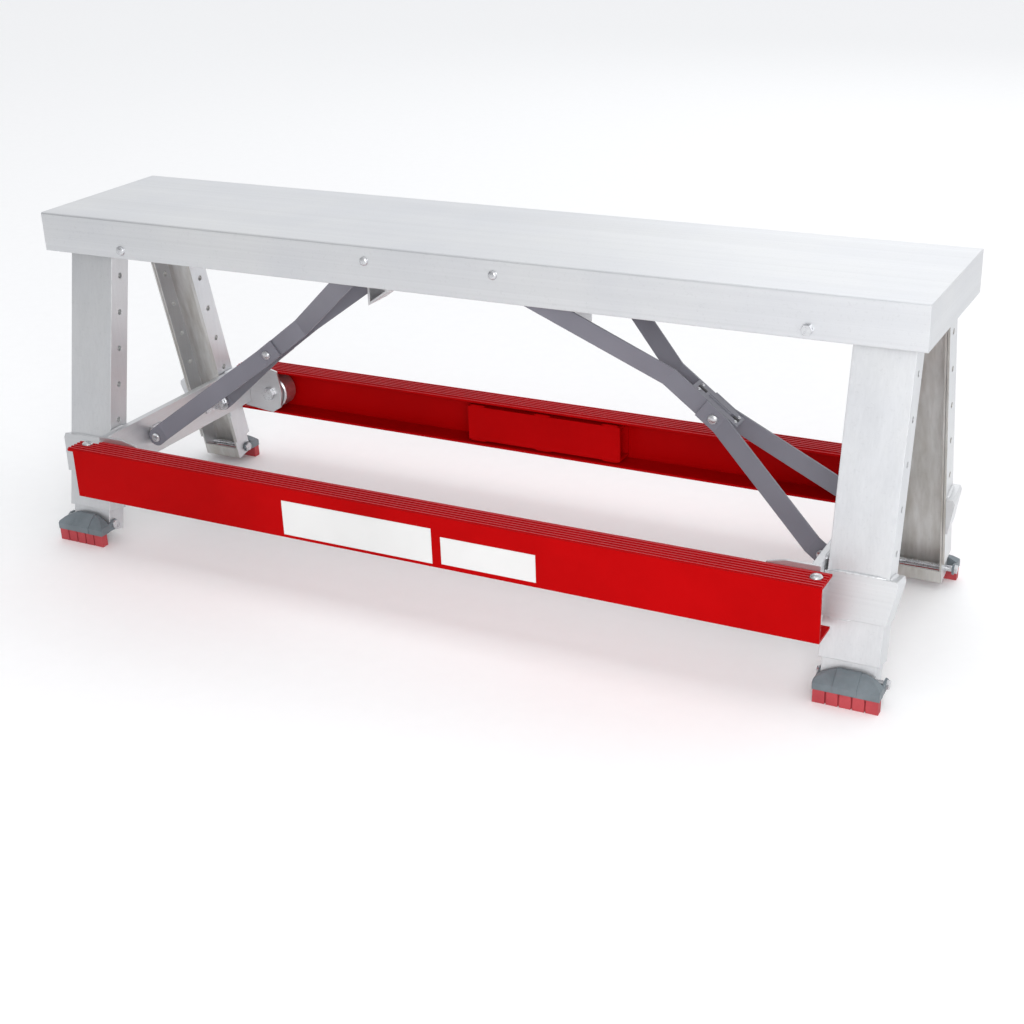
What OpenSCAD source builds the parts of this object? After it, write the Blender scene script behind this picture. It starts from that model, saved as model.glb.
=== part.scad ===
// Folding sawhorse: a long channel deck on two folding leg frames, with two step rails on rollers.
// Millimetres, +Z up. The origin is on the floor under the middle of the deck.
// +X runs along the deck and +Y to the rear.

/* [Deck] */
// Length of the deck along X
deck_length = 1219.2; // [900:1:1500]
// Width of the deck along Y
deck_width = 241.3; // [180:0.1:320]
// Height of the side skirts, from the top face down
skirt_height = 52.7; // [40:0.1:80]
// Wall of the deck channel and its end caps
deck_wall = 3.2; // [2:0.1:5]
// Height of the deck's top face with the legs pushed in
deck_top = 461; // [400:0.1:600]

/* [Leg frames] */
// Distance of each frame's fold axis from the middle
fold_x = 477; // [400:1:520]
// Depth of the fold axis below the deck's top
fold_drop = 42; // [30:0.5:48]
// Lean of each leg outwards from the vertical
lean = 12.35; // [5:0.05:20]
// Distance of a leg's outer face from the middle, level with the skirt's lower edge
leg_y = 89.6; // [50:0.1:100]
// Distance of a leg's inner edge from the middle of the deck
leg_x = 520.5; // [500:0.5:540]
// Width of an outer leg channel
leg_width = 71; // [50:0.5:90]
// Depth of an outer leg channel
leg_depth = 34; // [25:0.5:50]
// Wall of the leg channels
leg_wall = 3; // [2:0.1:4]
// Distance between the height holes along a leg
hole_pitch = 50.8; // [40:0.1:60]

/* [Cross frames] */
// Upper face of a cross beam, below the deck's top
beam_top = 298.5; // [280:0.5:330]
// Height of a cross beam
beam_height = 60; // [40:1:70]
// Distance of a cross beam's inner face from the middle of the deck
beam_x = 508; // [480:0.5:510]
// Radius of the rollers that carry the rails
roller_radius = 26.5; // [18:0.1:30]
// Distance of the roller axes from the middle of the deck
roller_x = 471; // [460:0.5:490]

/* [Step rails] */
// Length of a step rail
rail_length = 1066; // [900:1:1150]
// Height of a step rail
rail_height = 69.5; // [50:0.1:80]
// Distance of a rail's outer face from the middle
rail_y = 209.7; // [190:0.1:230]
// Depth of a rail's flanges
rail_depth = 39.3; // [25:0.1:45]
// Wall of a step rail
rail_wall = 3.2; // [2:0.1:5]

/* [Braces] */
// Distance of the upper brace bolts from the middle
brace_x = 90; // [60:1:140]
// Depth of the upper brace bolts below the deck's top
brace_drop = 19.5; // [15:0.5:30]
// Length of an upper brace strip between its holes
upper_length = 303.5; // [250:0.5:350]
// Distance of the lower brace pins from the middle of the deck
clip_x = 494; // [475:0.5:495]
// Depth of the lower brace pins below the deck's top
clip_drop = 328; // [310:0.5:340]
// Width of a brace strip
strip_width = 25.4; // [20:0.1:30]

/* [Hidden] */
$fn = 48;

// Radii of the bolts, and the running clearance round them
fold_pin_r = 6;
brace_pin_r = 5;
axle_r = 6;
run_gap = 0.05;

half_length = deck_length / 2;
half_width = deck_width / 2;
skirt_in = half_width - deck_wall;
cover = 500;

// The leg channels, along the leaning leg axis: 0 is level with the skirt's lower edge
leg_top = 30;
leg_bottom = -368.6;
wrap_top = -266;
wrap_bottom = -319;
wrap_wall = 2.5;
wrap_flare = 11;
leg_fit = 0.6;
inner_top = 10;
inner_bottom = -399.5;
inner_wall = 2.6;
toe_height = 18;
hole_r = 4;
hole_y = -17.5;
first_hole = -35.5;
hole_count = 5;

// Feet, in a leg's own corner
foot_x0 = 521.2;
foot_x1 = 599.8;
foot_out = 191;
pad_height = 17;
cap_height = 39.5;
cap_band = 8.5;
ear_inset = 0.2;
ear_wall = 2.4;
cap_shoulder = 17;
pad_groove_pitch = 15.4;
foot_bolt_y = 161;
foot_bolt_z = 25;
foot_bolt_r = 4;

// Brace geometry: the straight line between the upper bolt and the lower pin
brace_run = clip_x - brace_x;
brace_fall = clip_drop - brace_drop;
brace_line = sqrt(brace_run * brace_run + brace_fall * brace_fall);
brace_tilt = atan2(brace_fall, brace_run);
lower_length = brace_line - upper_length;
knee_x = brace_x + upper_length * cos(brace_tilt);
knee_drop = brace_drop + upper_length * sin(brace_tilt);
strip_r = strip_width / 2;
strip_wall = 3;
upper_knee_y = 10.8;
upper_deck_y = 112;
lower_knee_y = 14.3;
lower_clip_y = 77.5;
upper_bend = 74;
knee_cover_from = 46;
knee_cover_to = 28;
lower_front = 20;

beam_depth = 9.2;
beam_end = 165.8;
plate_wall = 3.5;
plate_y = 166;
roller_drop = 341;
roller_y0 = 172;
roller_y1 = 200.5;

rail_top = 304.8;
rib_count = 6;
rib_height = 1.3;
rib_width = 2.2;
rail_box_half = 121.5;
rail_tip = 9;
rail_stop_x = 522.5;
rail_stop_shift = 3;
box_drop = 10.5;
box_rise = 7;
box_setback = 4;
box_wall = 3;
label_wall = 0.3;

red = [0.70, 0.05, 0.08];
aluminium = [0.82, 0.83, 0.85];
grey = [0.45, 0.45, 0.49];
zinc = [0.80, 0.81, 0.83];
slate = [0.38, 0.42, 0.45];
rubber_red = [0.75, 0.20, 0.25];
white = [0.90, 0.90, 0.88];

// Lifts geometry drawn below the deck's top to its height over the floor
module hang() {
  translate([0, 0, deck_top]) children();
}

// Puts geometry drawn for the right rear corner on the side and end asked for
module corner(side, end) {
  if (side > 0 && end > 0) children();
  if (side < 0 && end > 0) mirror([1, 0, 0]) children();
  if (side > 0 && end < 0) mirror([0, 1, 0]) children();
  if (side < 0 && end < 0) mirror([1, 0, 0]) mirror([0, 1, 0]) children();
}

// Frame of a leaning leg in the right rear corner
module leaning() {
  translate([0, leg_y, -skirt_height]) rotate([lean, 0, 0]) children();
}

// A cylinder along +Y from y0 to y1
module rod_y(x, z, y0, y1, r) {
  translate([x, y0, z]) rotate([-90, 0, 0]) cylinder(r = r, h = y1 - y0);
}

// A low domed head along +Y, seated at y0
module dome_y(x, z, y0, r, h) {
  translate([x, y0, z]) rotate([-90, 0, 0]) rotate_extrude() polygon([
    [0, 0], [r, 0], [r, h * 0.35], [r * 0.9, h * 0.6], [r * 0.68, h * 0.84], [r * 0.36, h * 0.96], [0, h]]);
}

// A hexagonal nut along +Y
module hex_y(x, z, y0, y1, r) {
  translate([x, y0, z]) rotate([-90, 0, 0]) cylinder(r = r, h = y1 - y0, $fn = 6);
}

module box(a, b) {
  translate(a) cube([b[0] - a[0], b[1] - a[1], b[2] - a[2]]);
}

module deck_channel() {
  color(aluminium) hang() difference() {
    // Channel with rounded long edges
    rotate([90, 0, 90]) translate([0, 0, -half_length]) linear_extrude(height = deck_length) polygon([
      [-half_width, -skirt_height], [-half_width, -2.4], [-half_width + 0.7, -0.7], [-half_width + 2.4, 0],
      [half_width - 2.4, 0], [half_width - 0.7, -0.7], [half_width, -2.4], [half_width, -skirt_height],
      [skirt_in, -skirt_height], [skirt_in, -deck_wall], [-skirt_in, -deck_wall], [-skirt_in, -skirt_height]]);
    for (s = [-1, 1]) {
      rod_y(s * fold_x, -fold_drop, -cover, cover, fold_pin_r + run_gap);
      rod_y(s * brace_x, -brace_drop, -cover, cover, brace_pin_r + run_gap);
    }
  }
}

module end_cap() {
  color(aluminium) hang() box([half_length - deck_wall, -skirt_in, -skirt_height],
    [half_length, skirt_in, -deck_wall]);
}
module end_cap_left() {
  mirror([1, 0, 0]) end_cap();
}
module end_cap_right() {
  end_cap();
}

// Bent bracket under the deck that the folded cross beam comes to rest beside
module fold_stop() {
  color(aluminium) hang() rotate([90, 0, 0]) translate([0, 0, -22]) linear_extrude(height = 44) polygon([
    [122, -deck_wall], [122, -90], [152.5, -111], [152.5, -deck_wall],
    [149.5, -deck_wall], [149.5, -105.4], [125, -88.4], [125, -deck_wall]]);
}
module fold_stop_left() {
  mirror([1, 0, 0]) fold_stop();
}
module fold_stop_right() {
  fold_stop();
}

module leg_pivot_bolts() {
  color(zinc) hang() {
    for (s = [-1, 1]) for (e = [-1, 1]) corner(s, e) {
      rod_y(fold_x, -fold_drop, 113.4, half_width + 0.5, fold_pin_r);
      if (s > 0 && e < 0) hex_y(fold_x, -fold_drop, half_width, half_width + 4.6, 6.9);
      else dome_y(fold_x, -fold_drop, half_width, 6.6, 3.8);
    }
  }
}

module brace_top_bolts() {
  color(zinc) hang() {
    for (s = [-1, 1]) for (e = [-1, 1]) corner(s, e) {
      rod_y(brace_x, -brace_drop, 106, half_width + 0.5, brace_pin_r);
      dome_y(brace_x, -brace_drop, half_width, 5.7, 3.4);
      hex_y(brace_x, -brace_drop, 105, 111.5, 8.5);
    }
  }
}

// Transverse channel that joins two leg tops and turns on the fold axis
module leg_head() {
  color(aluminium) hang() difference() {
    box([466, -116.6, -52], [leg_x - 0.2, 116.6, -30]);
    box([469, -113.2, -49], [leg_x - 3.2, 113.2, 0]);
    rod_y(fold_x, -fold_drop, -cover, cover, fold_pin_r + run_gap);
  }
}
module leg_head_left() {
  mirror([1, 0, 0]) leg_head();
}
module leg_head_right() {
  leg_head();
}

module outer_leg(side, end) {
  color(aluminium) hang() corner(side, end) leaning() difference() {
    box([leg_x, -leg_depth, leg_bottom], [leg_x + leg_width, 0, leg_top]);
    box([leg_x + leg_wall, -cover, leg_bottom - 1], [leg_x + leg_width - leg_wall, -leg_wall, leg_top + 1]);
    for (i = [0 : hole_count - 1]) {
      translate([leg_x - 1, hole_y, first_hole - i * hole_pitch]) rotate([0, 90, 0])
        cylinder(r = hole_r, h = leg_width + 2);
    }
  }
}
module outer_leg_front_left() {
  outer_leg(-1, -1);
}
module outer_leg_rear_left() {
  outer_leg(-1, 1);
}
module outer_leg_front_right() {
  outer_leg(1, -1);
}
module outer_leg_rear_right() {
  outer_leg(1, 1);
}

// Straps round both outer legs of one side, beside the cross beam, flared at the top of their outer side
module leg_wraps(side) {
  color(aluminium) hang() for (e = [-1, 1]) corner(side, e) leaning() difference() {
    translate([0, wrap_wall + 0.2, 0]) rotate([90, 0, 0])
      linear_extrude(height = leg_depth + wrap_wall + 0.2) polygon([
      [leg_x - wrap_wall - 0.3, wrap_bottom], [leg_x + leg_width + wrap_wall, wrap_bottom],
      [leg_x + leg_width + wrap_flare, wrap_top - 6], [leg_x + leg_width + wrap_flare - 2, wrap_top],
      [leg_x - wrap_wall - 0.3, wrap_top]]);
    box([leg_x - 0.1, -cover, wrap_bottom - 1], [leg_x + leg_width + 0.1, 0.1, wrap_top + 1]);
  }
}
module leg_wraps_left() {
  leg_wraps(-1);
}
module leg_wraps_right() {
  leg_wraps(1);
}

// Hollow beam from front to rear along the inner side of the legs
module cross_beam() {
  color(aluminium) hang() difference() {
    box([beam_x, -beam_end, -beam_top - beam_height], [beam_x + beam_depth, beam_end, -beam_top]);
    box([beam_x + 3, -cover, -beam_top - beam_height + 3], [beam_x + beam_depth - 3, cover, -beam_top - 3]);
  }
}
module cross_beam_left() {
  mirror([1, 0, 0]) cross_beam();
}
module cross_beam_right() {
  cross_beam();
}

// Plates on the beam's ends that hold the roller axles
module end_plates(side) {
  color(aluminium) hang() for (e = [-1, 1]) corner(side, e) difference() {
    translate([0, plate_y + plate_wall, 0]) rotate([90, 0, 0]) linear_extrude(height = plate_wall) polygon([
      [519, -366], [519, -298.5], [478, -298.5], [455, -304], [448, -336], [452, -362], [468, -372]]);
    rod_y(roller_x, -roller_drop, plate_y - 1, plate_y + plate_wall + 1, axle_r + run_gap);
  }
}
module end_plates_left() {
  end_plates(-1);
}
module end_plates_right() {
  end_plates(1);
}

module roller_axles(side) {
  color(zinc) hang() for (e = [-1, 1]) corner(side, e) {
    rod_y(roller_x, -roller_drop, plate_y - 1, roller_y1 + 1, axle_r);
    hex_y(roller_x, -roller_drop, plate_y - 6, plate_y - 0.1, 10.5);
    rod_y(roller_x, -roller_drop, roller_y1 + 0.5, roller_y1 + 4, 10);
  }
}
module roller_axles_left() {
  roller_axles(-1);
}
module roller_axles_right() {
  roller_axles(1);
}

// Small ears on the beam that the lower brace ends turn on
module brace_clips(side) {
  color(zinc) hang() for (e = [-1, 1]) corner(side, e) difference() {
    union() {
      rod_y(clip_x, -clip_drop, 73.5, 76.5, 12);
      box([clip_x, 73.5, -clip_drop - 12], [beam_x - 0.1, 76.5, -clip_drop + 12]);
      box([beam_x - 2.6, 52, -clip_drop - 12], [beam_x - 0.1, 76.5, -clip_drop + 12]);
    }
    rod_y(clip_x, -clip_drop, 70, 90, brace_pin_r + run_gap);
  }
}
module brace_clips_left() {
  brace_clips(-1);
}
module brace_clips_right() {
  brace_clips(1);
}

module clip_pins(side) {
  color(zinc) hang() for (e = [-1, 1]) corner(side, e) {
    rod_y(clip_x, -clip_drop, 70, 82, brace_pin_r);
    hex_y(clip_x, -clip_drop, 67, 73, 8.5);
    dome_y(clip_x, -clip_drop, 81, 6.8, 3.8);
  }
}
module clip_pins_left() {
  clip_pins(-1);
}
module clip_pins_right() {
  clip_pins(1);
}

module inner_leg(side, end) {
  color(aluminium) hang() corner(side, end) leaning() difference() {
    box([leg_x + leg_wall + leg_fit, -leg_depth + 0.4, inner_bottom],
      [leg_x + leg_width - leg_wall - leg_fit, -leg_wall - leg_fit, inner_top]);
    box([leg_x + leg_wall + leg_fit + inner_wall, -cover, inner_bottom + toe_height],
      [leg_x + leg_width - leg_wall - leg_fit - inner_wall, -leg_wall - leg_fit - inner_wall, inner_top + 1]);
    box([leg_x + leg_wall + leg_fit + inner_wall, -leg_depth + 3.4, inner_bottom - 1],
      [leg_x + leg_width - leg_wall - leg_fit - inner_wall, -leg_wall - leg_fit - inner_wall,
        inner_bottom + toe_height + 1]);
    for (i = [0 : hole_count]) {
      translate([leg_x - 1, hole_y, first_hole - i * hole_pitch]) rotate([0, 90, 0])
        cylinder(r = hole_r, h = leg_width + 2);
    }
    rotate([-lean, 0, 0]) translate([leg_x - 1, foot_bolt_y - leg_y, foot_bolt_z - deck_top + skirt_height])
      rotate([0, 90, 0]) cylinder(r = foot_bolt_r + run_gap, h = leg_width + 2);
  }
}
module inner_leg_front_left() {
  inner_leg(-1, -1);
}
module inner_leg_rear_left() {
  inner_leg(-1, 1);
}
module inner_leg_front_right() {
  inner_leg(1, -1);
}
module inner_leg_rear_right() {
  inner_leg(1, 1);
}

// Distance of a leg's outer face from the middle, at a height over the floor
function face_y(h) = leg_y + (deck_top - skirt_height - h) * tan(lean);

// Moulded cap on the outer side of a leg's end, with ears that reach round it
module foot_cap(side, end) {
  color(slate) corner(side, end) difference() {
    union() {
      intersection() {
        rotate([90, 0, 90]) translate([0, 0, foot_x0]) linear_extrude(height = foot_x1 - foot_x0) polygon([
          [face_y(pad_height) + 0.5, pad_height], [foot_out, pad_height], [foot_out, pad_height + cap_band],
          [foot_out - 9, pad_height + cap_shoulder], [foot_out - 17, cap_height],
          [face_y(cap_height) + 0.5, cap_height]]);
        rotate([90, 0, 0]) translate([0, 0, -foot_out - 1]) linear_extrude(height = 80) polygon([
          [foot_x0, pad_height], [foot_x1, pad_height], [foot_x1, pad_height + 11],
          [foot_x1 - 7, cap_height - 6], [foot_x1 - 16, cap_height - 2], [foot_x1 - 22, cap_height], [foot_x0 + 22, cap_height],
          [foot_x0 + 16, cap_height - 2], [foot_x0 + 7, cap_height - 6], [foot_x0, pad_height + 11]]);
      }
      // Raised middle panel
      rotate([90, 0, 90]) translate([0, 0, foot_x0 + 24]) linear_extrude(height = 28) polygon([
        [foot_out - 14, pad_height + 1], [foot_out + 1.2, pad_height + 1],
        [foot_out + 1.2, pad_height + cap_band + 0.5], [foot_out - 8.2, pad_height + cap_shoulder + 1],
        [foot_out - 16, cap_height + 1.2], [foot_out - 20, cap_height + 1.2]]);
      // Ears on both sides of the leg
      for (x = [foot_x0 + ear_inset, foot_x1 - ear_inset - ear_wall]) {
        rotate([90, 0, 90]) translate([0, 0, x]) linear_extrude(height = ear_wall) polygon([
          [foot_bolt_y - 7, foot_bolt_z - 3], [foot_bolt_y - 3, foot_bolt_z - 7], [foot_bolt_y + 20, pad_height],
          [foot_bolt_y + 20, pad_height + 9], [foot_bolt_y + 8, foot_bolt_z + 5],
          [foot_bolt_y + 2, foot_bolt_z + 7], [foot_bolt_y - 3, foot_bolt_z + 7], [foot_bolt_y - 7, foot_bolt_z + 3]]);
      }
    }
    translate([foot_x0 - 1, foot_bolt_y, foot_bolt_z]) rotate([0, 90, 0])
      cylinder(r = foot_bolt_r + run_gap, h = 90);
  }
}
module foot_cap_front_left() {
  foot_cap(-1, -1);
}
module foot_cap_rear_left() {
  foot_cap(-1, 1);
}
module foot_cap_front_right() {
  foot_cap(1, -1);
}
module foot_cap_rear_right() {
  foot_cap(1, 1);
}

// Rubber pad under the cap, with upright grooves in its outer face
module foot_pad(side, end) {
  color(rubber_red) corner(side, end) difference() {
    box([foot_x0 + 0.8, face_y(0) + 0.8, 0], [foot_x1 - 0.8, foot_out - 0.6, pad_height - 0.02]);
    for (i = [1 : 4]) translate([foot_x0 + 0.8 + i * pad_groove_pitch, 0, 0]) {
      box([-0.9, foot_out - 3.4, -1], [0.9, foot_out + 1, pad_height + 1]);
    }
  }
}
module foot_pad_front_left() {
  foot_pad(-1, -1);
}
module foot_pad_rear_left() {
  foot_pad(-1, 1);
}
module foot_pad_front_right() {
  foot_pad(1, -1);
}
module foot_pad_rear_right() {
  foot_pad(1, 1);
}

module foot_bolt(side, end) {
  color(zinc) corner(side, end) translate([0, foot_bolt_y, foot_bolt_z]) rotate([0, 90, 0]) {
    translate([0, 0, foot_x0 - 1]) cylinder(r = foot_bolt_r, h = foot_x1 - foot_x0 + 2);
    translate([0, 0, foot_x1 - ear_inset + run_gap]) cylinder(r = 6.2, h = 3.4, $fn = 6);
    translate([0, 0, foot_x0 + ear_inset - run_gap - 3]) cylinder(r = 6.2, h = 3);
  }
}
module foot_bolt_front_left() {
  foot_bolt(-1, -1);
}
module foot_bolt_rear_left() {
  foot_bolt(-1, 1);
}
module foot_bolt_front_right() {
  foot_bolt(1, -1);
}
module foot_bolt_rear_right() {
  foot_bolt(1, 1);
}

// One cranked strip along +X from the origin, spread at y0 where it starts and y1 where it ends
module strip(length, y0, y1, flat0, flat1, width) {
  difference() {
    union() {
      translate([0, 0, -width / 2]) linear_extrude(height = width) polygon([
        [0, y0], [flat0, y0], [length - flat1, y1], [length, y1],
        [length, y1 + strip_wall], [length - flat1 - 1, y1 + strip_wall],
        [flat0 - 1, y0 + strip_wall], [0, y0 + strip_wall]]);
      rod_y(0, 0, y0, y0 + strip_wall, width / 2);
      rod_y(length, 0, y1, y1 + strip_wall, width / 2);
    }
    rod_y(0, 0, y0 - 1, y0 + strip_wall + 1, brace_pin_r + run_gap);
    rod_y(length, 0, y1 - 1, y1 + strip_wall + 1, brace_pin_r + run_gap);
  }
}

// Two strips from the deck's skirts to the knee, joined there by a channel-shaped cover
module brace_upper() {
  color(grey) hang() translate([brace_x, 0, -brace_drop]) rotate([0, brace_tilt, 0]) {
    for (e = [0, 1]) mirror([0, e, 0]) {
      strip(upper_length, upper_deck_y, upper_knee_y, 24, upper_bend, strip_width);
      difference() {
        translate([0, upper_knee_y + strip_wall, 0]) rotate([90, 0, 0]) linear_extrude(height = strip_wall) polygon([
          [upper_length - knee_cover_from, -strip_r], [upper_length + 6, -strip_r],
          [upper_length + knee_cover_to, 3], [upper_length + knee_cover_to, strip_r],
          [upper_length - knee_cover_from, strip_r]]);
        rod_y(upper_length, 0, 0, cover, brace_pin_r + run_gap);
        box([upper_length - 40, 0, -5], [upper_length - 26, cover, -0.5]);
        box([upper_length - 34, 0, -9], [upper_length - 30, cover, -1]);
      }
    }
    difference() {
      box([upper_length - knee_cover_from, -upper_knee_y - 1, strip_r - strip_wall],
        [upper_length + knee_cover_to, upper_knee_y + 1, strip_r]);
      box([upper_length + 12, -4, 0], [upper_length + 20, 4, cover]);
    }
  }
}
module brace_upper_left() {
  mirror([1, 0, 0]) brace_upper();
}
module brace_upper_right() {
  brace_upper();
}

// Two strips from the knee to the cross beam, outside the upper ones at the knee
module brace_lower() {
  color(grey) hang() translate([knee_x, 0, -knee_drop]) rotate([0, brace_tilt, 0]) {
    for (e = [0, 1]) mirror([0, e, 0]) {
      strip(lower_length, lower_knee_y, lower_clip_y, 12, 16, strip_width);
      difference() {
        box([-lower_front, lower_knee_y, -strip_r], [0, lower_knee_y + strip_wall, strip_r]);
        rod_y(0, 0, 0, cover, brace_pin_r + run_gap);
      }
    }
  }
}
module brace_lower_left() {
  mirror([1, 0, 0]) brace_lower();
}
module brace_lower_right() {
  brace_lower();
}

// Domed heads and their short shanks in the lower strips at the knee
module knee_bolts(side) {
  color(zinc) hang() for (e = [-1, 1]) corner(side, e) {
    rod_y(knee_x, -knee_drop, lower_knee_y + 0.1, lower_knee_y + strip_wall + 1, brace_pin_r);
    dome_y(knee_x, -knee_drop, lower_knee_y + strip_wall, 6.6, 4);
  }
}
module knee_bolts_left() {
  knee_bolts(-1);
}
module knee_bolts_right() {
  knee_bolts(1);
}

module roller(side, end) {
  color(zinc) hang() corner(side, end) translate([roller_x, 0, -roller_drop]) rotate([-90, 0, 0])
    rotate_extrude() polygon([
    [axle_r + run_gap, roller_y0], [roller_radius - 2, roller_y0], [roller_radius, roller_y0 + 2],
    [roller_radius, roller_y1 - 2], [roller_radius - 2, roller_y1], [axle_r + run_gap, roller_y1]]);
}
module roller_front_left() {
  roller(-1, -1);
}
module roller_rear_left() {
  roller(-1, 1);
}
module roller_front_right() {
  roller(1, -1);
}
module roller_rear_right() {
  roller(1, 1);
}

// Rear step rail: a channel open to the middle, ribbed along its top flange
module step_rail() {
  color(red) hang() difference() {
    union() {
      difference() {
        box([-rail_length / 2, rail_y - rail_depth, -rail_top - rail_height],
          [rail_length / 2 + rail_tip, rail_y, -rail_top]);
        box([-cover * 2, 0, -rail_top - rail_height + rail_wall],
          [cover * 2, rail_y - rail_wall, -rail_top - rail_wall]);
        box([rail_length / 2, 0, -rail_top - rail_height - 1], [cover * 2, cover, -rail_top - rail_wall]);
      }
      for (i = [0 : rib_count - 1]) {
        box([-rail_length / 2, rail_y - 4.2 - i * 6, -rail_top - 0.5],
          [rail_length / 2 + rail_tip, rail_y - 4.2 - i * 6 + rib_width, -rail_top + rib_height]);
      }
    }
    // Notch in one end of the top flange
    box([rail_length / 2 - 20, 0, -rail_top - rail_wall - 1], [rail_length, rail_y - rail_depth + 9, 0]);
    for (s = [-1, 1]) translate([s * rail_stop_x + rail_stop_shift, rail_y - 23, -rail_top]) {
      translate([0, 0, -10]) cylinder(r = 4.05, h = 20);
      cylinder(r = 8, h = 20);
    }
  }
}
module step_rail_rear() {
  step_rail();
}
module step_rail_front() {
  rotate([0, 0, 180]) step_rail();
}

// Open-ended box welded against the web in the middle of the rail, set back from the flange edges
module rail_box() {
  color(red) hang() difference() {
    box([-rail_box_half, rail_y - rail_depth + box_setback, -rail_top - rail_height + box_rise],
      [rail_box_half, rail_y - rail_wall - 0.05, -rail_top - box_drop]);
    box([-rail_box_half - 1, rail_y - rail_depth + box_setback + box_wall,
        -rail_top - rail_height + box_rise + box_wall],
      [rail_box_half + 1, rail_y - rail_wall - box_wall, -rail_top - box_drop - box_wall]);
  }
}
module rail_box_rear() {
  rail_box();
}
module rail_box_front() {
  rotate([0, 0, 180]) rail_box();
}

// Upright bolts that keep the rollers in the rail
module rail_stop_bolts() {
  color(zinc) hang() for (s = [-1, 1]) translate([s * rail_stop_x + rail_stop_shift, rail_y - 23, -rail_top]) {
    translate([0, 0, -16]) cylinder(r = 4, h = 17);
    rotate_extrude() polygon([[0, 0], [7.5, 0], [7.5, 1.5], [6.6, 2.8], [4.6, 3.9], [2.4, 4.5], [0, 4.6]]);
    translate([0, 0, -rail_wall - 6]) cylinder(r = 7.6, h = 5.9, $fn = 6);
  }
}
module rail_stop_bolts_rear() {
  rail_stop_bolts();
}
module rail_stop_bolts_front() {
  rotate([0, 0, 180]) rail_stop_bolts();
}

// Two plain blank labels on the outer face of the front rail
module rail_labels() {
  color(white) hang() {
    box([-186, -rail_y - label_wall, -370], [37, -rail_y, -322]);
    box([50, -rail_y - label_wall, -368], [181, -rail_y, -331]);
  }
}

deck_channel();
end_cap_left();
end_cap_right();
fold_stop_left();
fold_stop_right();
leg_pivot_bolts();
brace_top_bolts();
leg_head_left();
outer_leg_front_left();
outer_leg_rear_left();
leg_wraps_left();
cross_beam_left();
end_plates_left();
roller_axles_left();
brace_clips_left();
clip_pins_left();
leg_head_right();
outer_leg_front_right();
outer_leg_rear_right();
leg_wraps_right();
cross_beam_right();
end_plates_right();
roller_axles_right();
brace_clips_right();
clip_pins_right();
inner_leg_front_left();
foot_cap_front_left();
foot_pad_front_left();
foot_bolt_front_left();
inner_leg_rear_left();
foot_cap_rear_left();
foot_pad_rear_left();
foot_bolt_rear_left();
inner_leg_front_right();
foot_cap_front_right();
foot_pad_front_right();
foot_bolt_front_right();
inner_leg_rear_right();
foot_cap_rear_right();
foot_pad_rear_right();
foot_bolt_rear_right();
brace_upper_left();
brace_lower_left();
knee_bolts_left();
brace_upper_right();
brace_lower_right();
knee_bolts_right();
roller_front_left();
roller_rear_left();
roller_front_right();
roller_rear_right();
step_rail_front();
rail_box_front();
rail_stop_bolts_front();
rail_labels();
step_rail_rear();
rail_box_rear();
rail_stop_bolts_rear();
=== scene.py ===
import math

import bmesh
import bpy
from mathutils import Matrix, Vector


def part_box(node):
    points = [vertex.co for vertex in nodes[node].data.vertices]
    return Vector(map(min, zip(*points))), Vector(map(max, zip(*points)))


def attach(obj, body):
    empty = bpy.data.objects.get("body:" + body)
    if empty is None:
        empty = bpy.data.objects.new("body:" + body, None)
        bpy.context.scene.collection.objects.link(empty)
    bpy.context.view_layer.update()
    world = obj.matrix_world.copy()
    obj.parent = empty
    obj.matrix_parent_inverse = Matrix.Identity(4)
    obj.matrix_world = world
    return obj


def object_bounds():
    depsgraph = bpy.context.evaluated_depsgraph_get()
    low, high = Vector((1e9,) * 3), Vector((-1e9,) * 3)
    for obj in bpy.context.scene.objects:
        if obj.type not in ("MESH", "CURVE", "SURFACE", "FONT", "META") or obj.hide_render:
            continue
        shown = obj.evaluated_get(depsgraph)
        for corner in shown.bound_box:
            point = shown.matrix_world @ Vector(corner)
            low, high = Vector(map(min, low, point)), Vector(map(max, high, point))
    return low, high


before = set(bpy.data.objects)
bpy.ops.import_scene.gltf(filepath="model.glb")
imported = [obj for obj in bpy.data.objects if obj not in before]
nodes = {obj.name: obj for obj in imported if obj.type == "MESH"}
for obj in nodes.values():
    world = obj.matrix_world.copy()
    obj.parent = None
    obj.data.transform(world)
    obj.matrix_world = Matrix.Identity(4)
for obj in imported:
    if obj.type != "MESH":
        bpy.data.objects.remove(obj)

cad_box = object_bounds()

# ---------------------------------------------------------------- materials


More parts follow.
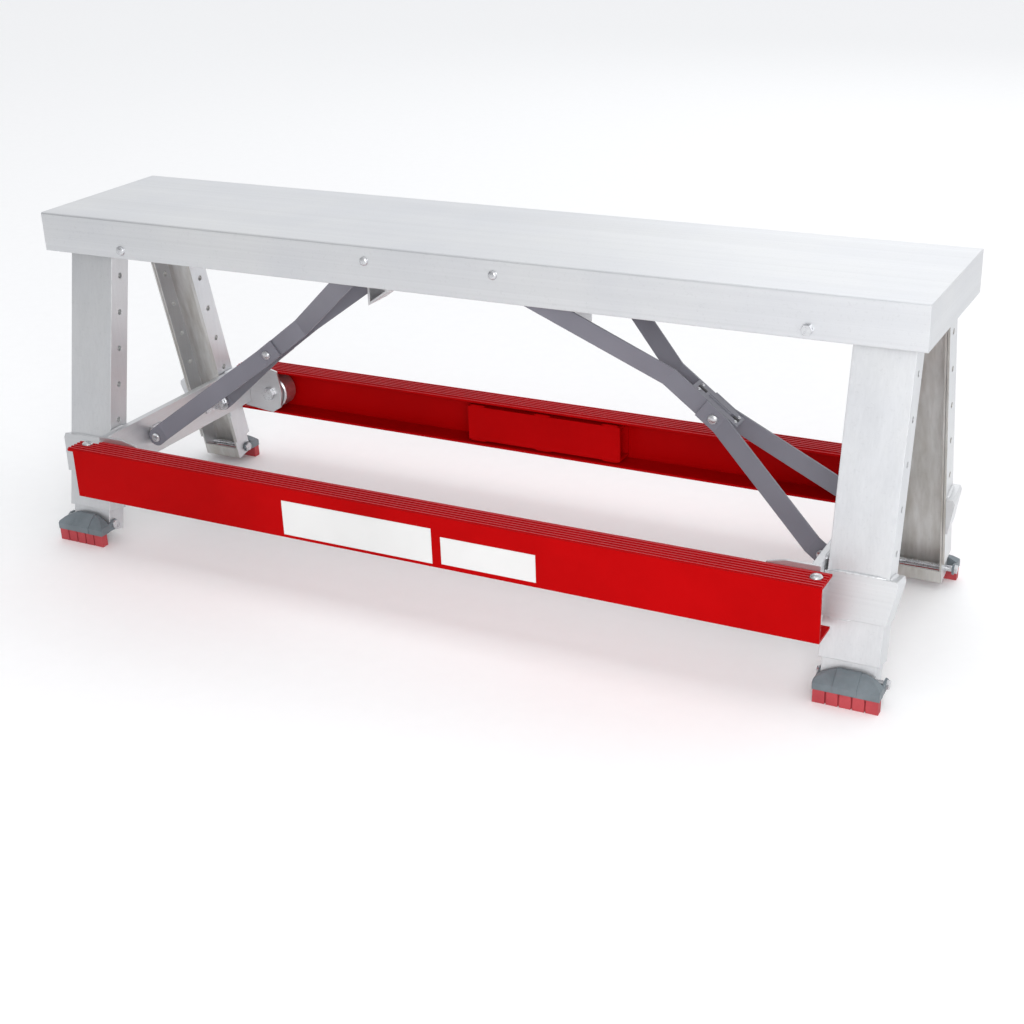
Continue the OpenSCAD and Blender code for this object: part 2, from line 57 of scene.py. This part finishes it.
class Tree:
    """A material's node tree, built a node at a time."""

    def __init__(self, name):
        self.mat = bpy.data.materials.new(name)
        self.mat.use_nodes = True
        self.t = self.mat.node_tree
        self.shader = self.t.nodes["Principled BSDF"]
        self.coord = self.t.nodes.new("ShaderNodeTexCoord")

    def node(self, kind, links=(), **values):
        """A node: values that start with in_ go to its sockets, and the others to its own settings."""
        n = self.t.nodes.new("ShaderNode" + kind)
        for k, v in values.items():
            if k.startswith("in_"):
                n.inputs[k[3:].replace("_", " ")].default_value = v
            else:
                setattr(n, k, v)
        for key, out in links:
            self.link(out, n.inputs[key])
        return n

    def link(self, out, socket):
        self.t.links.new(out, socket)

    def axis(self, output, index):
        """One axis of the object's own coordinates, or of its normal."""
        return self.node("SeparateXYZ", [("Vector", self.coord.outputs[output])]).outputs[index]

    def calc(self, operation, a, b=None):
        """A Math node on a socket and, where it needs one, a second socket or number."""
        n = self.node("Math", [(0, a)], operation=operation)
        if isinstance(b, float):
            n.inputs[1].default_value = b
        elif b is not None:
            self.link(b, n.inputs[1])
        return n.outputs[0]

    def noise(self, scale, detail=3.0, rough=0.55, stretch=(1, 1, 1)):
        place = self.node("Mapping", [("Vector", self.coord.outputs["Object"])], in_Scale=stretch)
        values = {"in_Scale": scale, "in_Detail": detail, "in_Roughness": rough}
        return self.node("TexNoise", [("Vector", place.outputs[0])], **values).outputs["Fac"]

    def ramp(self, fac, stops):
        r = self.node("ValToRGB", [("Fac", fac)])
        e = r.color_ramp.elements
        while len(e) < len(stops):
            e.new(0.5)
        for el, (position, colour) in zip(e, stops):
            el.position = position
            el.color = (*colour, 1)
        return r.outputs["Color"]

    def mix(self, fac, a, b, mode="MIX"):
        n = self.node("Mix", data_type="RGBA", blend_type=mode)
        for key, v in ((0, fac), (6, a), (7, b)):
            if isinstance(v, (int, float)):
                n.inputs[key].default_value = v
            elif isinstance(v, tuple):
                n.inputs[key].default_value = (*v, 1)
            else:
                self.link(v, n.inputs[key])
        return n.outputs[2]

    def spread(self, fac, lo, hi, start=0.0, end=1.0):
        """Turns start to end into lo to hi."""
        values = {"in_From_Min": start, "in_From_Max": end, "in_To_Min": lo, "in_To_Max": hi}
        return self.node("MapRange", [("Value", fac)], **values).outputs[0]

    def edge(self, radius):
        """A normal that softens the edges."""
        return self.node("Bevel", samples=4, in_Radius=radius).outputs[0]

    def bump(self, height, strength, distance, normal=None):
        n = self.node("Bump", [("Height", height)], in_Strength=strength, in_Distance=distance)
        if normal is not None:
            self.link(normal, n.inputs["Normal"])
        return n.outputs[0]

    def done(self, colour, rough, normal, metallic=0.0, **fixed):
        self.link(colour, self.shader.inputs["Base Color"])
        self.link(rough, self.shader.inputs["Roughness"])
        self.link(normal, self.shader.inputs["Normal"])
        self.shader.inputs["Metallic"].default_value = metallic
        for k, v in fixed.items():
            self.shader.inputs[k.replace("_", " ")].default_value = v
        return self.mat


def grey(value):
    return (value, value, value)


def lighter(colour, gain, lift):
    return tuple(min(1, c * gain + lift) for c in colour)


def aluminium(name, along, shade_inside=False):
    """Mill aluminium with die lines along one direction, soft stains and fine scratches.
    With shade_inside, faces that look towards the middle get painted shade, warmer and darker with streaks,
    as inside the leg channels."""
    m = Tree(name)

    def drawn(across, lengthwise):
        return m.noise(1.0, 2.0, 0.5, tuple(lengthwise if a else across for a in along))

    lines = drawn(420, 1.5)
    broad = drawn(45, 0.8)
    clouds = m.noise(5.5, 4.0, 0.6)
    specks = m.noise(260.0, 2.0, 0.6)
    base = m.ramp(m.mix(0.5, lines, broad), [(0.30, (0.655, 0.662, 0.672)), (0.70, (0.72, 0.727, 0.737))])
    tint = m.ramp(clouds, [(0.36, (0.94, 0.945, 0.96)), (0.66, (1.0, 1.0, 0.995))])
    colour = m.mix(1.0, base, tint, "MULTIPLY")
    marks = m.ramp(specks, [(0.60, grey(1)), (0.72, grey(0.90))])
    colour = m.mix(0.5, colour, m.mix(1.0, colour, marks, "MULTIPLY"))
    # Painted shade: faces turned towards the middle, inside the leg channels, are multiplied darker and
    # warmer with streaks
    if shade_inside:
        inward = m.calc("MULTIPLY", m.axis("Object", 1), m.axis("Normal", 1))
        streaks = m.noise(1.0, 3.0, 0.6, (55, 55, 2.2))
        painted_channel_shade = m.ramp(streaks, [(0.32, (0.70, 0.66, 0.60)), (0.64, (0.97, 0.95, 0.91))])
        inside = m.spread(inward, 0.0, 1.0, -0.02, -0.06)
        colour = m.mix(inside, colour, m.mix(1.0, colour, painted_channel_shade, "MULTIPLY"))
    rough = m.spread(m.mix(0.5, clouds, lines), 0.36, 0.56)
    normal = m.bump(lines, 0.09, 0.0005, m.edge(0.0012))
    normal = m.bump(specks, 0.05, 0.0004, normal)
    return m.done(colour, rough, normal, 0.86, Specular_IOR_Level=0.5)


RIB_SPACING = 0.006
RIB_HALF = RIB_SPACING / 2
RIB_SHIFT = 0.0004
RIBS_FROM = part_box("step_rail_rear")[1][2] - 0.006  # only faces above this are on the ribbed top


def crest_sheen_mask(m):
    """Mask for a painted highlight: 1 on the crests of the ribs along a rail's top, less between them and 0
    elsewhere.
    """
    across = m.calc("ABSOLUTE", m.axis("Object", 1))
    wave = m.calc("PINGPONG", m.calc("ADD", across, RIB_SHIFT), RIB_HALF)
    crest = m.spread(wave, 0.15, 1.0, 0.0016, 0.0021)
    upward = m.spread(m.axis("Normal", 2), 0.0, 0.62, 0.7, 0.9)
    high = m.calc("GREATER_THAN", m.axis("Object", 2), RIBS_FROM)
    return m.calc("MULTIPLY", m.calc("MULTIPLY", crest, upward), high)


def paint(name, dark, light, rough, coat, specular, crest_sheen=None):
    """Sprayed paint with orange peel, thin dust and a slight change of shade.
    With crest_sheen, the crests of the ribs along the top of a rail get that lighter colour as a painted
    highlight."""
    m = Tree(name)
    clouds = m.noise(4.0, 4.0, 0.6)
    skin = m.noise(320.0, 2.0, 0.5)
    dust = m.noise(60.0, 6.0, 0.7)
    colour = m.ramp(clouds, [(0.35, dark), (0.68, light)])
    dusty = m.ramp(dust, [(0.66, grey(0)), (0.90, grey(0.05))])
    colour = m.mix(dusty, colour, lighter(light, 1.25, 0.02))
    if crest_sheen:
        # Painted highlight: a lighter red on the upward-facing rib crests
        colour = m.mix(crest_sheen_mask(m), colour, crest_sheen)
    r = m.spread(m.mix(0.5, clouds, dust), rough - 0.06, rough + 0.10)
    normal = m.bump(skin, 0.06, 0.0004, m.edge(0.0008))
    return m.done(colour, r, normal, 0.0, Coat_Weight=coat, Coat_Roughness=0.16, Specular_IOR_Level=specular)


def moulded(name, dark, light, rough, grain):
    """Moulded plastic or rubber: fine grain, scuffs and a slight change of shade."""
    m = Tree(name)
    clouds = m.noise(28.0, 4.0, 0.6)
    fine = m.noise(900.0, 2.0, 0.6)
    scuffs = m.noise(90.0, 6.0, 0.75, (1, 0.3, 1))
    colour = m.ramp(clouds, [(0.34, dark), (0.68, light)])
    worn = m.ramp(scuffs, [(0.62, grey(0)), (0.84, grey(0.28))])
    colour = m.mix(worn, colour, lighter(light, 1.5, 0.05))
    r = m.spread(m.mix(0.5, scuffs, fine), rough - 0.1, rough + 0.12)
    normal = m.bump(fine, grain, 0.0005, m.edge(0.0009))
    normal = m.bump(clouds, 0.04, 0.001, normal)
    return m.done(colour, r, normal)


def plated(name, dark, light, rough):
    """Zinc plate or turned steel: a fine mottle over cloudy patches of shade."""
    m = Tree(name)
    mottle = m.noise(1.0, 3.0, 0.6, (900, 900, 900))
    clouds = m.noise(120.0, 3.0, 0.6)
    colour = m.ramp(clouds, [(0.36, dark), (0.66, light)])
    colour = m.mix(0.35, colour, m.ramp(mottle, [(0.3, grey(0.6)), (0.7, grey(0.85))]))
    r = m.spread(clouds, rough - 0.08, rough + 0.12)
    normal = m.bump(mottle, 0.08, 0.0002, m.edge(0.0006))
    return m.done(colour, r, normal, 0.9)


ALU_X = aluminium("mill_aluminium_x", (1, 0, 0))
# The legs' material carries painted shade inside their channels
ALU_Z = aluminium("mill_aluminium_z", (0, 0, 1), shade_inside=True)
ALU_Y = aluminium("mill_aluminium_y", (0, 1, 0))
# Lighter red for the painted highlight on the rails' rib crests
CREST_SHEEN_RED = (0.60, 0.085, 0.10)
RED = paint("red_paint", (0.37, 0.0005, 0.0010), (0.47, 0.0010, 0.0020), 0.36, 0.0, 0.03, CREST_SHEEN_RED)
GREY = paint("grey_paint", (0.165, 0.165, 0.195), (0.215, 0.215, 0.25), 0.42, 0.08, 0.35)
LABEL = paint("white_label", (0.70, 0.70, 0.69), (0.78, 0.78, 0.77), 0.5, 0.05, 0.3)
SLATE = moulded("slate_plastic", (0.120, 0.145, 0.160), (0.175, 0.205, 0.225), 0.44, 0.25)
RUBBER = moulded("red_rubber", (0.38, 0.036, 0.045), (0.48, 0.055, 0.065), 0.62, 0.35)
ZINC = plated("zinc_steel", (0.40, 0.41, 0.44), (0.62, 0.63, 0.65), 0.26)
ROLLER = plated("roller_steel", (0.55, 0.56, 0.58), (0.70, 0.70, 0.72), 0.34)


def pick(name):
    if name.startswith(("step_rail", "rail_box")):
        return RED
    if name.startswith(("brace_upper", "brace_lower")):
        return GREY
    if name == "rail_labels":
        return LABEL
    if name.startswith("foot_cap"):
        return SLATE
    if name.startswith("foot_pad"):
        return RUBBER
    if name.startswith(("roller_front", "roller_rear")):
        return ROLLER
    if any(w in name for w in ("bolt", "pins", "axles", "clips")):
        return ZINC
    if name.startswith(("outer_leg", "inner_leg")):
        return ALU_Z
    if name.startswith(("cross_beam", "leg_head", "end_cap", "fold_stop")):
        return ALU_Y
    return ALU_X


for name, o in nodes.items():
    o.data.materials.clear()
    o.data.materials.append(pick(name))

# ---------------------------------------------------------------- added pieces


def finish_piece(name, bm, mat, body, smooth=True):
    bmesh.ops.recalc_face_normals(bm, faces=bm.faces)
    mesh = bpy.data.meshes.new(name)
    bm.to_mesh(mesh)
    bm.free()
    for f in mesh.polygons:
        f.use_smooth = smooth
    o = bpy.data.objects.new(name, mesh)
    bpy.context.scene.collection.objects.link(o)
    mesh.materials.append(mat)
    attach(o, body)


def turn(count):
    """Evenly spaced angles round a full turn."""
    return [2 * math.pi * n / count for n in range(count)]


def rings(bm, rows):
    """Skins closed rings of points, with a cap at each end."""
    made = [[bm.verts.new(p) for p in row] for row in rows]
    for a, b in zip(made, made[1:]):
        for i in range(len(a)):
            j = (i + 1) % len(a)
            bm.faces.new((a[i], a[j], b[j], b[i]))
    bm.faces.new(made[0])
    bm.faces.new(made[-1])


def bead(bm, a, b, radius, seed):
    """A rippled weld bead from a to b."""
    a, b = Vector(a), Vector(b)
    run = b - a
    side = run.orthogonal().normalized()
    top = run.cross(side).normalized()
    count = max(6, int(run.length / (radius * 0.55)))
    rows = []
    for i in range(count + 1):
        t = i / count
        taper = min(1, 0.35 + 4 * min(t, 1 - t))
        ripple = 0.94 + 0.06 * math.sin(i * 2.1 + seed) + 0.03 * math.sin(i * 5.3 + seed * 3)
        k = radius * taper * ripple
        c = a + run * t
        rows.append([c + (side * math.cos(q) + top * math.sin(q)) * k for q in turn(9)])
    rings(bm, rows)


def lathe(bm, base, axis, outline, sides):
    """A turned shape: outline is a list of (height, radius)."""
    axis = Vector(axis).normalized()
    u = axis.orthogonal().normalized()
    v = axis.cross(u)
    rings(bm, [
        [Vector(base) + axis * h + (u * math.cos(q) + v * math.sin(q)) * r for q in turn(sides)]
        for h, r in outline])


SIDES = {"left": -1, "right": 1}
ENDS = {"front": -1, "rear": 1}
leg_lo, leg_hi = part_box("outer_leg_rear_right")
beam_lo, beam_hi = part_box("cross_beam_right")
box_lo, box_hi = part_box("rail_box_rear")
cap_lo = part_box("end_cap_right")[0]
head_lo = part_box("leg_head_right")[0]
skirt_lo, skirt_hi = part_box("deck_channel")

LEAN = math.radians(12.35)  # how far each leg leans outwards, front and rear
LEG_ROOT = 0.0896  # from the middle to the leg's face, at the skirt's lower edge
STRAP_TOP, STRAP_BOTTOM = -0.2655, -0.3195  # down the leg from the skirt's lower edge
ON_LEG = 0.0005  # how far a bead's middle stands off the leg's face
ON_PLATE = 0.0004  # and off other plates
BEAM_WELD = (0.118, 0.146)  # from the middle to each end of the bead on the cross beam
END_PLATE_X = 0.5135
HEAD_WELD = (0.058, 0.088)
CAP_CORNER = 0.1174
CAP_WELD_HALF = 0.09
BOX_WELDS, BOX_WELD_HALF = (-0.106, 0.0, 0.106), 0.013


def leg_point(side, end, x, y, z):
    """A point given along the leaning leg's own axes, from the skirt's lower edge."""
    c, s = math.cos(LEAN), math.sin(LEAN)
    return Vector((side * x, end * (LEG_ROOT + y * c - z * s), skirt_lo[2] + y * s + z * c))


def corner_bead(bm, side, end, a, b, radius, seed):
    """A bead given for the rear right corner, at any of the four corners."""
    bead(bm, (side * a[0], end * a[1], a[2]), (side * b[0], end * b[1], b[2]), radius, seed)


def weld_strap(bm, side, end):
    """Beads on a leg's strap: along its upper edge, round its outer side and along its lower edge."""
    inner, outer = leg_lo[0], leg_hi[0]

    def run(a, b, z, radius, seed):
        bead(bm, leg_point(side, end, *a, z), leg_point(side, end, *b, z), radius, seed)

    run((inner + 0.004, ON_LEG), (outer - 0.003, ON_LEG), STRAP_TOP, 0.0026, inner)
    run((outer + 0.0008, -0.002), (outer + 0.0008, -0.030), STRAP_TOP, 0.0034, 2)
    run((inner + 0.006, ON_LEG), (inner + 0.034, ON_LEG), STRAP_BOTTOM, 0.0018, 4)


def weld_beam(bm, side, end):
    """Beads at a corner of the frame: on the cross beam, its end plate and the leg head."""
    x, z = beam_hi[0] + ON_PLATE, beam_hi[2] - 0.001
    corner_bead(bm, side, end, (x, BEAM_WELD[0], z), (x, BEAM_WELD[1], z), 0.0028, 5)
    x, y = END_PLATE_X, beam_hi[1] + 0.0003
    corner_bead(bm, side, end, (x, y, beam_hi[2] - 0.004), (x, y, beam_lo[2] + 0.004), 0.0022, 6)
    x, z = leg_lo[0] - ON_PLATE, head_lo[2] + 0.001
    corner_bead(bm, side, end, (x, HEAD_WELD[0], z), (x, HEAD_WELD[1], z), 0.0022, 7)


for side, sx in SIDES.items():
    bm = bmesh.new()
    for ey in ENDS.values():
        weld_strap(bm, sx, ey)
        weld_beam(bm, sx, ey)
    finish_piece("weld_frame_" + side, bm, ALU_Y, "frame_" + side)

bm = bmesh.new()
cap_x = cap_lo[0] - ON_PLATE
cap_z = skirt_hi[2] - 0.0036
for sx in SIDES.values():
    for ey in ENDS.values():
        low, high = skirt_lo[2] + 0.004, skirt_hi[2] - 0.007
        corner_bead(bm, sx, ey, (cap_x, CAP_CORNER, low), (cap_x, CAP_CORNER, high), 0.0019, 3)
    corner_bead(bm, sx, 1, (cap_x, -CAP_WELD_HALF, cap_z), (cap_x, CAP_WELD_HALF, cap_z), 0.0019, 1)
finish_piece("weld_deck", bm, ALU_Y, "deck")

box_y = box_lo[1] + 0.0012
for end, ey in ENDS.items():
    bm = bmesh.new()
    for x in BOX_WELDS:
        for z in (box_hi[2] + 0.0012, box_lo[2] - 0.0006):
            a, b = (x - BOX_WELD_HALF, box_y, z), (x + BOX_WELD_HALF, box_y, z)
            corner_bead(bm, 1, ey, a, b, 0.0019, x * 90)
    finish_piece("weld_rail_" + end, bm, RED, "rail_" + end)

# Knee covers: rivets, a folded seam along the middle and, at each end, a near-black plate as painted shade
# for a slot
SLOT_SHADE = moulded("painted_slot_shade", (0.012, 0.012, 0.014), (0.03, 0.03, 0.034), 0.6, 0.1)
BRACE_TOP = Vector((0.09, 0, skirt_hi[2] - 0.0195))  # the upper bolt
BRACE_FOOT = Vector((0.494, 0, skirt_hi[2] - 0.328))  # the clip pin
ALONG = (BRACE_FOOT - BRACE_TOP).normalized()
OUTWARD = Vector((-ALONG.z, 0, ALONG.x))
KNEE = 0.3035  # from the upper bolt to the knee
COVER_FACE = 0.0127  # from the brace's middle line to the cover's face
RIVET = [(-0.0005, 0.0022), (0.0003, 0.0025), (0.0009, 0.0019), (0.0012, 0.0007)]
RIVETS_ALONG, RIVETS_ACROSS = (0.022, -0.0375), (-0.007, 0.007)
SEAM_ALONG, SEAM_HEIGHT = (-0.024, 0.012), (0.0122, 0.0138)
SEAM_FOLDS = ((-0.0030, -0.0006), (0.0006, 0.0030))
SLOTS_ALONG = ((-0.041, -0.028), (0.016, 0.025))
SLOT_ACROSS, SLOT_HEIGHT = (-0.0032, 0.0032), (0.0124, 0.0130)
PAD_BEVEL = 0.0004


def on_cover(side, d, y, h=COVER_FACE):
    """A point on a knee cover: d along the brace past the knee, h above the brace's middle line."""
    c = BRACE_TOP + ALONG * (KNEE + d) + OUTWARD * h
    return Vector((side * c.x, y, c.z))


def pad(bm, side, along, across, height):
    """A low bevelled plate on a knee cover."""
    (d0, d1), (y0, y1), (h0, h1) = along, across, height
    rows = []
    for g, h in ((0, h0), (0, h1 - PAD_BEVEL), (PAD_BEVEL, h1)):
        corners = ((d0 + g, y0 + g), (d1 - g, y0 + g), (d1 - g, y1 - g), (d0 + g, y1 - g))
        rows.append([on_cover(side, d, y, h) for d, y in corners])
    rings(bm, rows)


for side, sx in SIDES.items():
    body = "link_upper_" + side
    bm = bmesh.new()
    for d in RIVETS_ALONG:
        for y in RIVETS_ACROSS:
            lathe(bm, on_cover(sx, d, y), on_cover(sx, d, y, 1) - on_cover(sx, d, y, 0), RIVET, 16)
    finish_piece("knee_rivets_" + side, bm, ZINC, body)
    bm = bmesh.new()
    for fold in SEAM_FOLDS:
        pad(bm, sx, SEAM_ALONG, fold, SEAM_HEIGHT)
    finish_piece("knee_seam_" + side, bm, GREY, body, smooth=False)
    # Painted shade: near-black plates where the slots are
    bm = bmesh.new()
    for slot in SLOTS_ALONG:
        pad(bm, sx, slot, SLOT_ACROSS, SLOT_HEIGHT)
    finish_piece("knee_slot_shade_" + side, bm, SLOT_SHADE, body)

# ---------------------------------------------------------------- camera, floor, lights

# Fitted to the photograph, which is PHOTO_WIDTH pixels wide
PHOTO_WIDTH, FOCAL_PIXELS = 1024, 1612.1
AZIMUTH, ELEVATION, ROLL = 28.252, 24.132, -2.193
CAMERA_X, CAMERA_Y, CAMERA_OVER_DECK = 0.98099, -1.7526, 0.50525
FILM_WIDTH = 36
FLOOR_HALF = 30

cam_data = bpy.data.cameras.new("camera")
cam = bpy.data.objects.new("camera", cam_data)
bpy.context.scene.collection.objects.link(cam)
az, el, roll = (math.radians(angle) for angle in (AZIMUTH, ELEVATION, ROLL))
back = Vector((math.sin(az) * math.cos(el), -math.cos(az) * math.cos(el), math.sin(el)))
level = Vector((math.cos(az), math.sin(az), 0))
right = level * math.cos(roll) + back.cross(level) * math.sin(roll)
up = back.cross(right)
eye = Vector((CAMERA_X, CAMERA_Y, cad_box[1][2] + CAMERA_OVER_DECK))
cam.matrix_world = Matrix((*zip(right, up, back, eye), (0, 0, 0, 1)))
cam_data.sensor_width = FILM_WIDTH
cam_data.lens = FOCAL_PIXELS / PHOTO_WIDTH * FILM_WIDTH
bpy.context.scene.camera = cam

mesh = bpy.data.meshes.new("floor")
outline = [(x * FLOOR_HALF, y * FLOOR_HALF, 0) for x, y in ((-1, -1), (1, -1), (1, 1), (-1, 1))]
mesh.from_pydata(outline, [], [(0, 1, 2, 3)])
floor = bpy.data.objects.new("floor", mesh)
bpy.context.scene.collection.objects.link(floor)
f = Tree("floor_pale")
grain = f.noise(40.0, 4.0, 0.6)
pale = f.ramp(grain, [(0.3, grey(0.97)), (0.7, grey(0.985))])
mesh.materials.append(f.done(pale, f.spread(grain, 0.6, 0.7), f.bump(grain, 0.02, 0.001)))

# A bright studio that is dimmer towards the front left
world = bpy.data.worlds.new("studio")
world.use_nodes = True
wt = world.node_tree
shade = wt.nodes["Background"]
shade.inputs["Color"].default_value = (0.97, 0.98, 1.0, 1)
ray = wt.nodes.new("ShaderNodeTexCoord")
dot = wt.nodes.new("ShaderNodeVectorMath")
dot.operation = "DOT_PRODUCT"
dot.inputs[1].default_value = (-0.78, -0.62, 0.0)
wt.links.new(ray.outputs["Generated"], dot.inputs[0])
fade = wt.nodes.new("ShaderNodeMapRange")
for key, v in (("From Min", 0.0), ("From Max", 0.95), ("To Min", 1.06), ("To Max", 0.40)):
    fade.inputs[key].default_value = v
wt.links.new(dot.outputs["Value"], fade.inputs["Value"])
wt.links.new(fade.outputs[0], shade.inputs["Strength"])
bpy.context.scene.world = world
bpy.context.scene.view_settings.view_transform = "Standard"


def area(name, place, aim, size, power):
    data = bpy.data.lights.new(name, "AREA")
    data.shape = "RECTANGLE"
    data.size, data.size_y = size
    data.energy = power
    o = bpy.data.objects.new(name, data)
    bpy.context.scene.collection.objects.link(o)
    o.location = place
    o.rotation_euler = (Vector(aim) - Vector(place)).to_track_quat("-Z", "Y").to_euler()


area("key", (1.25, -2.2, 1.1), (0.6, 0, 0.2), (1.2, 0.8), 27)
area("back", (0.2, 3.6, 2.2), (0, 0, 0.3), (3.0, 1.6), 11)
area("overhead", (0.5, 0.6, 3.6), (0.3, 0, 0), (3.0, 2.4), 9)
